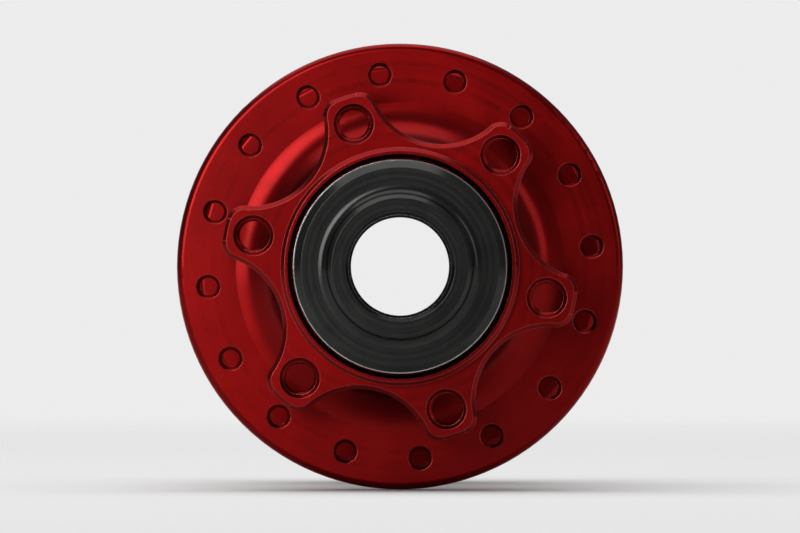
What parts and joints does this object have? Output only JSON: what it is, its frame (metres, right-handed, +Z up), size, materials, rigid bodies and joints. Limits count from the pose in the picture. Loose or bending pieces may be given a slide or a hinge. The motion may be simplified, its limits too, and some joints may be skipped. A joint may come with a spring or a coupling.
{
  "type": "bicycle front hub",
  "caption": "Disc-brake front hub: flanged shell with a lobed rotor mount, turning on sealed ball bearings around a tube axle whose push-on end caps take a thru axle.",
  "frame": {"origin": "middle of the hub axis, halfway between the two end faces", "axes": "+Y along the hub axis away from the rotor side, so the rotor mount faces -Y; +Z up; the picture looks along +Y"},
  "size_m": [0.066, 0.11, 0.066],
  "materials": {
    "red_anodised": "turned and bright-dipped, anodised red",
    "black_anodised": "satin, anodised black",
    "axle_alloy": "fine turned",
    "bearing_steel": "ground and polished",
    "nitrile_rubber": "moulded, matt",
    "cage_nylon": "moulded"
  },
  "bodies": {
    "axle_assembly": {"axle": "axle_alloy", "left_end_cap": "black_anodised", "right_end_cap": "black_anodised", "left_cap_o_ring": "nitrile_rubber", "right_cap_o_ring": "nitrile_rubber", "left_bearing_inner_ring": "bearing_steel", "right_bearing_inner_ring": "bearing_steel"},
    "shell": {"hub_shell": "red_anodised", "left_bearing_outer_ring": "bearing_steel", "left_bearing_outboard_seal": "nitrile_rubber", "left_bearing_inboard_seal": "nitrile_rubber", "right_bearing_outer_ring": "bearing_steel", "right_bearing_outboard_seal": "nitrile_rubber", "right_bearing_inboard_seal": "nitrile_rubber"},
    "left_ball_set": {"left_bearing_cage": "cage_nylon", "left_ball_01": "bearing_steel", "left_ball_02": "bearing_steel", "left_ball_03": "bearing_steel", "left_ball_04": "bearing_steel", "left_ball_05": "bearing_steel", "left_ball_06": "bearing_steel", "left_ball_07": "bearing_steel", "left_ball_08": "bearing_steel", "left_ball_09": "bearing_steel", "left_ball_10": "bearing_steel", "left_ball_11": "bearing_steel", "left_ball_12": "bearing_steel"},
    "right_ball_set": {"right_bearing_cage": "cage_nylon", "right_ball_01": "bearing_steel", "right_ball_02": "bearing_steel", "right_ball_03": "bearing_steel", "right_ball_04": "bearing_steel", "right_ball_05": "bearing_steel", "right_ball_06": "bearing_steel", "right_ball_07": "bearing_steel", "right_ball_08": "bearing_steel", "right_ball_09": "bearing_steel", "right_ball_10": "bearing_steel", "right_ball_11": "bearing_steel", "right_ball_12": "bearing_steel"}
  },
  "joints": [
    {"name": "shell_spin", "type": "hinge", "parent": "axle_assembly", "child": "shell", "pos_m": [0, 0, 0], "axis": [0, 1, 0], "continuous": true},
    {"name": "left_ball_set_spin", "type": "hinge", "parent": "axle_assembly", "child": "left_ball_set", "pos_m": [0, -0.042, 0], "axis": [0, 1, 0], "continuous": true},
    {"name": "right_ball_set_spin", "type": "hinge", "parent": "axle_assembly", "child": "right_ball_set", "pos_m": [0, 0.042, 0], "axis": [0, 1, 0], "continuous": true}
  ],
  "couplings": [
    {"joint": "left_ball_set_spin", "follows": "shell_spin", "ratio": 0.5673},
    {"joint": "right_ball_set_spin", "follows": "shell_spin", "ratio": 0.5673}
  ]
}
